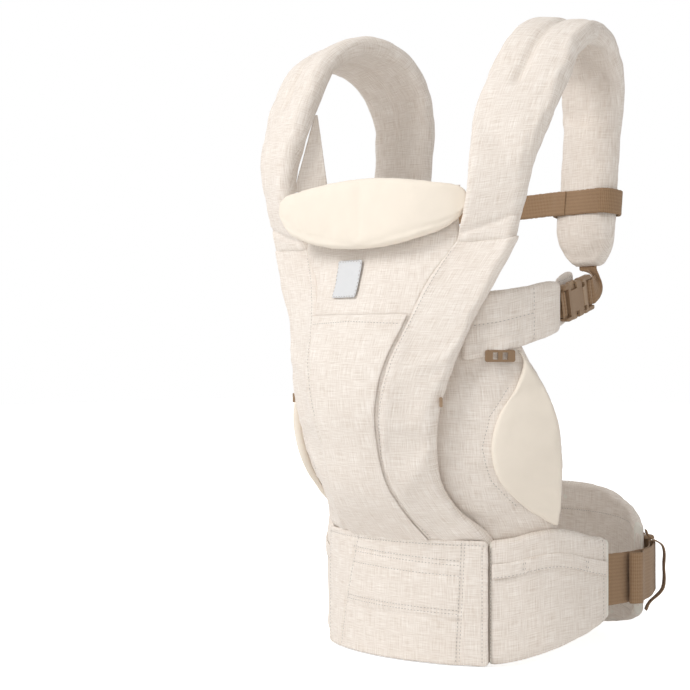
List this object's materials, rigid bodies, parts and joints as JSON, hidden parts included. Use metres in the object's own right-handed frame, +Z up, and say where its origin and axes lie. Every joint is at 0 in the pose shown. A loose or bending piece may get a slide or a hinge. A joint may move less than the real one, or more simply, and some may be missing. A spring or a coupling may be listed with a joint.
{
  "type": "soft baby carrier",
  "caption": "Soft structured baby carrier with padded waist belt, lumbar pad, curved seat panel, fold-down headrest, padded shoulder straps and release buckles.",
  "frame": {"origin": "the wearer's torso axis, level with the lowest edge of the waist belt", "axes": "+Z up along the wearer's torso, +X to the wearer's left, -Y to the front, where the baby's back is"},
  "size_m": [0.3832, 0.3607, 0.6232],
  "materials": {
    "linen": "matte",
    "cream_knit": "matte",
    "foam": "matte",
    "tan_webbing": "matte",
    "buckle_plastic": "matte",
    "label": "matte"
  },
  "bodies": {
    "carrier": {"belt_centre_cover": "linen", "belt_centre_foam": "foam", "belt_front_panel": "linen", "belt_wing_cover_left": "linen", "belt_wing_cover_right": "linen", "belt_wing_foam_left": "foam", "belt_wing_foam_right": "foam", "buckle_guard_left": "linen", "buckle_guard_right": "linen", "front_pocket": "linen", "label_patch": "label", "leg_pad_left": "cream_knit", "leg_pad_right": "cream_knit", "leg_panel_left": "linen", "leg_panel_right": "linen", "lumbar_pad_cover": "linen", "lumbar_pad_foam": "foam", "lumbar_pad_loops": "tan_webbing", "pouch_strips": "linen", "seat_panel": "linen", "seat_toggles": "buckle_plastic", "seat_width_locks": "buckle_plastic", "side_band_left": "linen", "side_band_right": "linen", "side_wing_left": "linen", "side_wing_right": "linen", "strap_cover_left": "linen", "strap_cover_right": "linen", "strap_foam_left": "foam", "strap_foam_right": "foam", "strap_gusset_left": "linen", "strap_gusset_right": "linen", "underarm_anchors": "tan_webbing", "underarm_socket_left": "buckle_plastic", "underarm_socket_right": "buckle_plastic", "underarm_webbing_left": "tan_webbing", "underarm_webbing_right": "tan_webbing", "waist_buckle_socket": "buckle_plastic", "waist_webbing_front": "tan_webbing", "waist_webbing_rear": "tan_webbing"},
    "headrest": {"headrest_cover": "cream_knit", "headrest_foam": "foam"},
    "waist_clip": {"waist_buckle_clip": "buckle_plastic"},
    "waist_arm_upper": {"waist_buckle_arm_upper": "buckle_plastic"},
    "waist_arm_lower": {"waist_buckle_arm_lower": "buckle_plastic"},
    "underarm_clip_left": {"underarm_clip_left": "buckle_plastic"},
    "underarm_arm_upper_left": {"underarm_arm_upper_left": "buckle_plastic"},
    "underarm_arm_lower_left": {"underarm_arm_lower_left": "buckle_plastic"},
    "underarm_clip_right": {"underarm_clip_right": "buckle_plastic"},
    "underarm_arm_upper_right": {"underarm_arm_upper_right": "buckle_plastic"},
    "underarm_arm_lower_right": {"underarm_arm_lower_right": "buckle_plastic"},
    "chest_strap": {"chest_loop_left": "tan_webbing", "chest_loop_right": "tan_webbing", "chest_socket": "buckle_plastic", "chest_webbing": "tan_webbing"},
    "chest_clip": {"chest_clip": "buckle_plastic"},
    "chest_arm_upper": {"chest_arm_upper": "buckle_plastic"},
    "chest_arm_lower": {"chest_arm_lower": "buckle_plastic"}
  },
  "joints": [
    {"name": "headrest_fold", "type": "hinge", "parent": "carrier", "child": "headrest", "pos_m": [0, -0.172, 0.453], "axis": [-1, 0, 0], "range_deg": [0, 165]},
    {"name": "waist_clip_slide", "type": "slide", "parent": "carrier", "child": "waist_clip", "axis": [-0.9075, 0.4202, 0], "range_m": [0, 0.034], "deforming": ["waist_buckle_arm_upper", "waist_buckle_arm_lower", "waist_webbing_rear"]},
    {"name": "waist_upper_squeeze", "type": "hinge", "parent": "waist_clip", "child": "waist_arm_upper", "pos_m": [0.08503, 0.14108, 0.1002], "axis": [0.4202, 0.9075, 0], "range_deg": [0, 9], "stiffness_Nm_per_rad": 0.06},
    {"name": "waist_lower_squeeze", "type": "hinge", "parent": "waist_clip", "child": "waist_arm_lower", "pos_m": [0.08503, 0.14108, 0.0538], "axis": [0.4202, 0.9075, 0], "range_deg": [-9, 0], "stiffness_Nm_per_rad": 0.06},
    {"name": "underarm_clip_slide_left", "type": "slide", "parent": "carrier", "child": "underarm_clip_left", "axis": [-0.1513, 0.9584, 0.2421], "range_m": [0, 0.025], "deforming": ["underarm_arm_upper_left", "underarm_arm_lower_left", "underarm_webbing_left"]},
    {"name": "underarm_upper_squeeze_left", "type": "hinge", "parent": "underarm_clip_left", "child": "underarm_arm_upper_left", "pos_m": [0.14986, -0.02996, 0.35733], "axis": [0.9878, 0.156, 0], "range_deg": [0, 9], "stiffness_Nm_per_rad": 0.03},
    {"name": "underarm_lower_squeeze_left", "type": "hinge", "parent": "underarm_clip_left", "child": "underarm_arm_lower_left", "pos_m": [0.14902, -0.02461, 0.33559], "axis": [0.9878, 0.156, 0], "range_deg": [-9, 0], "stiffness_Nm_per_rad": 0.03},
    {"name": "underarm_clip_slide_right", "type": "slide", "parent": "carrier", "child": "underarm_clip_right", "axis": [0.1513, 0.9584, 0.2421], "range_m": [0, 0.025], "deforming": ["underarm_arm_upper_right", "underarm_arm_lower_right", "underarm_webbing_right"]},
    {"name": "underarm_upper_squeeze_right", "type": "hinge", "parent": "underarm_clip_right", "child": "underarm_arm_upper_right", "pos_m": [-0.14986, -0.02996, 0.35733], "axis": [0.9878, -0.156, 0], "range_deg": [0, 9], "stiffness_Nm_per_rad": 0.03},
    {"name": "underarm_lower_squeeze_right", "type": "hinge", "parent": "underarm_clip_right", "child": "underarm_arm_lower_right", "pos_m": [-0.14902, -0.02461, 0.33559], "axis": [0.9878, -0.156, 0], "range_deg": [-9, 0], "stiffness_Nm_per_rad": 0.03},
    {"name": "chest_strap_height", "type": "slide", "parent": "carrier", "child": "chest_strap", "axis": [0, 0.0995, 0.995], "range_m": [-0.012, 0.045]},
    {"name": "chest_clip_slide", "type": "slide", "parent": "chest_strap", "child": "chest_clip", "axis": [-1, 0, 0], "range_m": [0, 0.028], "deforming": ["chest_arm_upper", "chest_arm_lower", "chest_webbing"]},
    {"name": "chest_upper_squeeze", "type": "hinge", "parent": "chest_clip", "child": "chest_arm_upper", "pos_m": [0.003, 0.00311, 0.44814], "axis": [0, 0.995, -0.0995], "range_deg": [0, 9], "stiffness_Nm_per_rad": 0.03},
    {"name": "chest_lower_squeeze", "type": "hinge", "parent": "chest_clip", "child": "chest_arm_lower", "pos_m": [0.003, 0.00089, 0.42586], "axis": [0, 0.995, -0.0995], "range_deg": [-9, 0], "stiffness_Nm_per_rad": 0.03}
  ],
  "couplings": [
    {"joint": "waist_lower_squeeze", "follows": "waist_upper_squeeze", "ratio": -1},
    {"joint": "underarm_lower_squeeze_left", "follows": "underarm_upper_squeeze_left", "ratio": -1},
    {"joint": "underarm_lower_squeeze_right", "follows": "underarm_upper_squeeze_right", "ratio": -1},
    {"joint": "chest_lower_squeeze", "follows": "chest_upper_squeeze", "ratio": -1}
  ]
}
